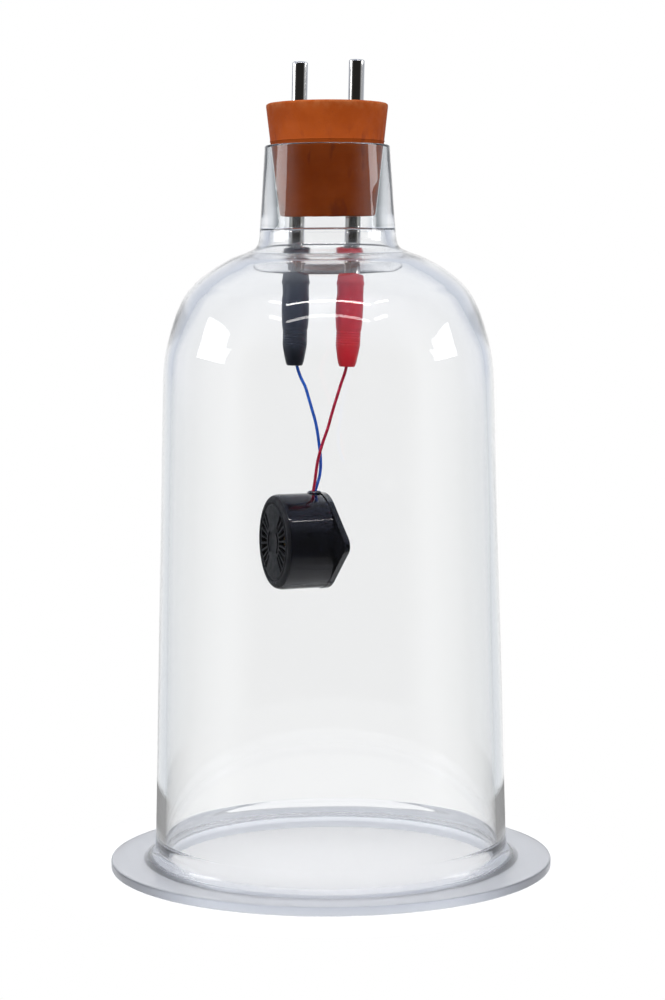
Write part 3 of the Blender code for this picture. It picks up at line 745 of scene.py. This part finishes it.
def make_jar():
    bore = stopper_radius(STOPPER_END) + SEAT
    rim_bore = stopper_radius(RIM - 0.6) + SEAT
    outside = bspline([
        (19.72, RIM - 0.9), (19.9, 225), (20.4, 218), (20.8, 211), (21.2, 205.5), (21.6, 200),
        (22.1, 197.6), (23.4, 196.3), (29.4, 194.4), (33.0, 192.5), (36.2, 190.6), (38.9, 188.7),
        (41.2, 186.8), (43.1, 184.9), (44.8, 182.9), (46.8, 179.3), (48.4, 175.4), (49.6, 171.5),
        (50.6, 168.0), (51.5, 164.3), (52.1, 160.0), (52.5, 154.5), (53.5, 112), (54.6, 72),
        (55.5, 34), (56.1, 8.5), (56.6, 5.6), (57.9, 3.7), (60.2, FLANGE_THICK),
    ])
    flange = rounded([
        (60.2, FLANGE_THICK, 0), (FLANGE_EDGE, FLANGE_THICK, 0.55), (FLANGE_EDGE, 0, 0.5),
        (53.35, 0, 0.5), (53.1, 3.0, 0),
    ])
    shoulder = [p for p in inset(outside) if 10 < p[1] < 192.4 and p[0] > 23]
    foot = bspline([(53.1, 3.0), (53.0, 6.0), (52.9, 9.0), shoulder[-1]], 4)
    throat = bspline([
        shoulder[0], (24.4, 192.1), (21.9, 193.4), (20.1, 195.1), (19.0, 197.2), (18.4, 199.6),
        (18.2, BORE_END - 0.5),
    ], 5)
    seat = rounded([
        (18.1, BORE_END, 0.35), (bore + 0.35, BORE_END, 0.3), (bore, BORE_END + 0.5, 0),
        (bore, STOPPER_END, 0), (rim_bore, RIM - 0.6, 0.2),
        (rim_bore + 0.5, RIM, 0.15), (19.68, RIM, 0.45), (19.72, RIM - 0.9, 0),
    ])
    inside = foot + shoulder[-2:0:-1] + throat
    profile = braced(outside + flange[1:] + inside[1:] + seat[:-1])
    jar = lathe("bell_jar_moulding", profile, JAR_STEPS, closed=True, nudge=jar_nudge, angle=50)
    settle(jar, clear_acrylic(), "jar", "clear_acrylic", "bell_jar")


# ---------------------------------------------------------------- stopper and rods


def rod_frame(side):
    return Matrix.Translation(Vector(ROD_TOP[side]) * MM) @ Matrix.Rotation(ROD_LEAN, 4, "Y")


def make_stopper():
    top, end = STOPPER_TOP, STOPPER_END
    seam = RIM + 1.2

    def uneven(r, z, a):
        x, y = math.cos(a), math.sin(a)
        if z < end + 1.0:
            return r, z + 0.16 * abs(ripple(3 * x, 3 * y, 1, 4))
        if z > top - 1.2:
            worn_edge = 0.04 * abs(ripple(5 * x, 5 * y, 2, 1))
            worn_top = 0.06 * abs(ripple(r / 4 * x, r / 4 * y, 4, 2))
            return r - worn_edge, z - worn_top
        return r, z

    side = rounded([
        (0, top, 0), (4, top - 0.05, 0), (9, top - 0.05, 0), (15.5, top - 0.05, 0),
        (STOPPER_TOP_R - 0.05, top, 1.0), (stopper_radius(seam + 0.35) - 0.03, seam + 0.35, 0),
        (stopper_radius(seam) + 0.14, seam, 0.12), (stopper_radius(seam - 0.35) - 0.03, seam - 0.35, 0),
        (stopper_radius(222), 222, 0), (stopper_radius(214), 214, 0), (STOPPER_END_R, end, 0.8),
        (12, end, 0), (0, end, 0),
    ])
    stopper = lathe("rubber_stopper_moulding", side, 128, nudge=uneven)
    holes = []
    for name in ROD_TOP:
        hole = [(0, 5), (ROD_R + SEAT - 0.12, 5), (ROD_R + SEAT - 0.12, -60), (0, -60)]
        holes.append(lathe(f"rod_hole_{name}", hole, 40, place=rod_frame(name)))
    cut(stopper, holes)
    settle(stopper, orange_rubber(), "stopper", "orange_rubber", "rubber_stopper")


def make_rods():
    look = bright_metal("bright_nickel", (0.80, 0.785, 0.76), (0.70, 0.68, 0.66), 0.085, 3000)
    for side in ROD_TOP:
        def nick(r, z, a):
            """The left rod has a small notch in its top edge."""
            deep = side == "left" and z > -0.6 and r > 1.9 and abs(a - math.radians(236)) < 0.2
            return (r, z - 0.35) if deep else (r, z)

        profile = rounded([
            (0, -0.04, 0), (1.2, -0.04, 0), (ROD_R - 0.4, 0, 0.12), (ROD_R, -0.4, 0.12),
            (ROD_R, -2, 0), (ROD_R, -12, 0), (ROD_R, -30, 0), (ROD_R, -50, 0),
            (ROD_R, 0.4 - ROD_LEN, 0.12), (ROD_R - 0.4, -ROD_LEN, 0.12), (0, -ROD_LEN, 0),
        ])
        rod = lathe(f"rod_{side}", profile, 72, nudge=nick, place=rod_frame(side))
        settle(rod, look, "stopper", "bright_nickel", f"terminal_rod_{side}")


# ---------------------------------------------------------------- crocodile clips


def clip_frame(side):
    at = Matrix.Translation(Vector(CLIP_MOUTH[side]) * MM)
    return at @ Matrix.Rotation(CLIP_LEAN[side], 4, "Y")


def boot_profile():
    """The boot's section from its end up the outside, over the mouth and down the inside."""
    end = -BOOT_LEN
    outer = bspline([
        (2.35, end + 0.1), (2.62, end + 0.6), (3.03, end + 2), (3.45, -25.2), (3.72, -23.4),
    ], 4)
    z = -23.0
    while z < -17.8:
        outer += [(3.66, z), (3.80, z + 0.2), (3.85, z + 0.42), (3.80, z + 0.64)]
        z += 0.86
    outer += bspline([
        (3.92, -17.1), (4.05, -16), (4.3, -12.7), (4.32, -8.9), (4.14, -6), (4.12, -4.2),
        (4.16, -3.3), (4.4, -2.75), (4.4, -2.15), (4.12, -1.4), (4.09, -0.55),
    ], 4)
    lip = rounded([(4.09, -0.55, 0), (3.92, 0.0, 0.3), (3.6, 0.0, 0.2), (3.5, -0.4, 0)], 3)
    inner = bspline([(3.5, -0.4), (3.5, -9), (3.3, -17), (2.95, -22.6), (2.5, end + 4), (1.55, end + 1)], 3)
    return outer + lip[1:] + inner[1:] + [(1.5, end + 0.2), (1.7, end), (2.1, end)]


def make_boots():
    for side, (slot, *tones) in BOOT_PVC.items():
        look = soft_pvc(slot, *tones, *BOOT_PAINTED_LIGHT)
        seed = 3 if side == "left" else 8

        def worn(r, z, a):
            """A moulding seam at each side, a soft bulge over the jaws' tails and a slightly wavy mouth."""
            x, y = math.cos(a), math.sin(a)
            outside = r > 3.55 or z < -24.5
            if z > -0.7:
                z += 0.10 * ripple(2 * x, 2 * y, 1, seed) - 0.05
            if outside:
                r += 0.05 * ripple(1.6 * x, 1.6 * y, z / 5, seed)
                if abs(y) < 0.04:
                    r += 0.05
            return r, z

        squeeze = Matrix.Diagonal((1, BOOT_FLAT, 1, 1))
        place = clip_frame(side) @ Matrix.Translation((0, BOOT_Y * MM, 0)) @ squeeze
        boot = lathe(f"boot_{side}", boot_profile(), 96, closed=True, nudge=worn, place=place)
        settle(boot, look, "stopper", slot, f"clip_{side}_boot")


def make_jaws():
    look = bright_metal("clip_steel", (0.66, 0.65, 0.63), (0.52, 0.50, 0.48), 0.26, 1500, (1, 1, 0.1))
    wire = bright_metal("spring_steel", (0.50, 0.50, 0.52), (0.34, 0.33, 0.34), 0.3, 2200)
    for side in CLIP_MOUTH:
        for kind, body in (("fixed", "stopper"), ("moving", f"clip_{side}_jaw")):
            node = f"clip_{side}_{kind}_jaw"
            jaw = node_copy(node, f"jaw_{side}_{kind}")
            if side == "right":
                narrow_lip(jaw, clip_frame(side))
            edge = {"width": 0.07 * MM, "segments": 2, "limit_method": "ANGLE"}
            edge |= {"angle_limit": math.radians(35), "use_clamp_overlap": True}
            modified(jaw, ("BEVEL", edge), angle=30)
            settle(jaw, look, body, "clip_steel", node)
        dress(f"clip_{side}_pivot_pin", look)
        dress(f"clip_{side}_spring", wire)


def narrow_lip(jaw, place):
    """The right clip's lips are bent in on the left and stand out a little on the right."""
    back = place.inverted()
    for vertex in jaw.data.vertices:
        local = back @ vertex.co
        if local.x < -JAW_HALF_W * MM:
            local.x = -JAW_HALF_W * MM - 0.02 * MM
            vertex.co = place @ local
        elif local.x > (JAW_HALF_W + 0.05) * MM:
            local.x = (JAW_HALF_W + 0.45) * MM
            vertex.co = place @ local


# ---------------------------------------------------------------- buzzer


def buzzer_frame():
    out = Vector((-math.cos(BUZZER_YAW), -math.sin(BUZZER_YAW), 0))
    up = Vector((0, 0, 1))
    turn = Matrix((up, out.cross(up), out)).transposed().to_4x4()
    return Matrix.Translation(Vector(BUZZER_FACE) * MM) @ turn


def base_outline():
    """The base plate: a disc with a rounded ear to each side."""
    swing = math.degrees(math.acos((BASE_R - EAR_R) / EAR_AT))
    points = []
    for side in (90, -90):
        x, y = EAR_AT * math.cos(math.radians(side)), EAR_AT * math.sin(math.radians(side))
        for i in range(17):
            a = math.radians(side - swing + 2 * swing * i / 16)
            points.append((x + EAR_R * math.cos(a), y + EAR_R * math.sin(a)))
        rest = 180 - 2 * swing
        for i in range(1, 32):
            a = math.radians(side + swing + rest * i / 32)
            points.append((BASE_R * math.cos(a), BASE_R * math.sin(a)))
    return points


def sector(middle, inner, outer, spread, steps=8):
    """A ring sector about an angle, in mm and degrees."""
    angles = [math.radians(middle + spread * (i / steps - 0.5)) for i in range(steps + 1)]
    points = [(outer * math.cos(a), outer * math.sin(a)) for a in angles]
    return points + [(inner * math.cos(a), inner * math.sin(a)) for a in reversed(angles)]


def make_case(place):
    side = rounded([
        (0, -0.12, 0), (3.2, -0.12, 0), (3.5, 0, 0.1), (11.75, 0, 0.15), (12.0, -0.42, 0.12),
        (12.5, -0.42, 0.12), (12.75, 0, 0.15), (13.6, -0.02, 0.3), (14.65, -0.5, 0.7),
        (CASE_R, -1.9, 0.8), (CASE_R, -8, 0), (CASE_R, -CASE_DEPTH, 0), (CAVITY_R, -CASE_DEPTH, 0),
        (CAVITY_R, -5, 0), (12.2, -5, 0), (12.2, -CASE_WALL, 0), (0, -CASE_WALL, 0),
    ])
    case = lathe("buzzer_case_moulding", side, 128, place=place)
    base = prism("base", base_outline(), -CASE_DEPTH, BASE_T - CASE_DEPTH, place)
    cut(case, [base], "UNION")
    low, rebate = -CASE_DEPTH, CAVITY_R + 0.15
    bore = [(0, low - 1), (rebate, low - 1), (rebate, low + 3), (0, low + 3)]
    tools = [lathe("bore", bore, 128, place=place)]
    for sign in (1, -1):
        at = place @ Matrix.Translation((0, sign * EAR_HOLE_AT * MM, -CASE_DEPTH * MM))
        hole = [(0, -1), (EAR_HOLE_R, -1), (EAR_HOLE_R, BASE_T + 1), (0, BASE_T + 1)]
        tools.append(lathe("ear_hole", hole, 40, place=at))
    turn = Matrix.Rotation(math.radians(90), 4, "Y")
    at = place @ Matrix.Translation((0, 0, -LEAD_HOLE_DEPTH * MM)) @ turn
    tools.append(lathe("lead_hole", [(0, 12), (LEAD_HOLE_R, 12), (LEAD_HOLE_R, 17), (0, 17)], 32, place=at))
    for middle in (90, -90):
        tools.append(prism("crescent", sector(middle, 3.7, 4.7, 100, 16), -3, 1, place))
        for i in range(9):
            ray = sector(middle + 12.5 * (i - 4), 5.7, 11.3, 8.5, 3)
            tools.append(prism("ray", ray, -3, 1, place))
    edge = {"width": 0.16 * MM, "segments": 2, "limit_method": "ANGLE"}
    edge |= {"angle_limit": math.radians(40), "use_clamp_overlap": True}
    cut(case, tools, after=[("BEVEL", edge)], angle=32)
    out = place.to_3x3().col[2]
    look = case_plastic(out, out.dot(place.translation))
    settle(case, look, "buzzer", "black_case", "buzzer_case")


def make_seal(place):
    """A lumpy bead of glue round the leads."""
    def lumpy(r, z, a):
        x, y = math.cos(a), math.sin(a)
        swell = 1 + 0.22 * ripple(1.6 * x, 1.6 * y, z, 6)
        return r * swell, z + 0.22 * abs(ripple(3.1 * x, 3.1 * y, r, 9)) * (z > low + 0.2)

    low = CASE_R + 0.12
    bead = bspline([(1.2, low), (1.15, low + 0.3), (1.3, low + 0.5), (1.6, low + 0.48),
                    (1.95, low + 0.25), (2.1, low)], 4)
    turn = Matrix.Rotation(math.radians(90), 4, "Y")
    at = place @ Matrix.Translation((0, 0, -LEAD_HOLE_DEPTH * MM)) @ turn
    seal = lathe("lead_seal_bead", bead, 40, closed=True, nudge=lumpy, place=at, angle=60)
    # The glue is black; the grey patches in its mottle are painted highlights, here and on the gasket ring
    look = plain_stuff("silicone", (0.020, 0.022, 0.030), (0.16, 0.17, 0.21), 0.4, 900, 0.00005)
    settle(seal, look, "buzzer", "silicone", "buzzer_lead_seal")
    dress("buzzer_gasket_ring", look)


def dress_insides():
    brass = bright_metal("diaphragm_brass", (0.80, 0.60, 0.28), (0.70, 0.50, 0.22), 0.25, 900, (1, 1, 1))
    dress("buzzer_piezo_plate", brass)
    dress("buzzer_piezo_ceramic", plain_stuff("piezo_ceramic", (0.74, 0.73, 0.69), (0.62, 0.61, 0.57), 0.45))
    dress("buzzer_resistor", plain_stuff("resistor_body", (0.70, 0.62, 0.46), (0.60, 0.52, 0.38), 0.4))
    dress("buzzer_circuit_board", board_look())
    resin = plain_stuff("black_resin", (0.020, 0.020, 0.022), (0.010, 0.010, 0.012), 0.35, 500, 0.00004)
    dress("buzzer_transistor", resin)
    dress("buzzer_back_cover", resin)
    copper = bright_metal("coil_copper", (0.72, 0.33, 0.16), (0.55, 0.22, 0.10), 0.3, 5000, (1, 1, 1))
    dress("buzzer_coil", copper)


def board_look():
    """Brown phenolic board with a woven grain and a few plated tracks."""
    s = Surface("circuit_board", Specular_IOR_Level=0.4)
    weave = s.math("MULTIPLY", s.noise(1500, 2, s.stretch(1, 0.1, 1)), s.noise(1500, 2, s.stretch(1, 1, 0.1)))
    colour = s.mix(s.between(weave, 0.15, 0.4), (0.30, 0.19, 0.07), (0.42, 0.28, 0.12))
    track = s.between(s.cells(170, feature="DISTANCE_TO_EDGE"), 0.03, 0.06)
    s.set("Base Color", s.mix(track, (0.62, 0.60, 0.55), colour))
    s.set("Roughness", s.between(s.noise(900, 3), 0.3, 0.7, 0.4, 0.65))
    s.set("Normal", s.bump(weave, 0.00002, 0.5))
    return s.material


make_camera()
make_studio()
make_leads()
make_jar()
make_stopper()
make_rods()
make_boots()
make_jaws()
PLACE = buzzer_frame()
make_case(PLACE)
make_seal(PLACE)
dress_insides()
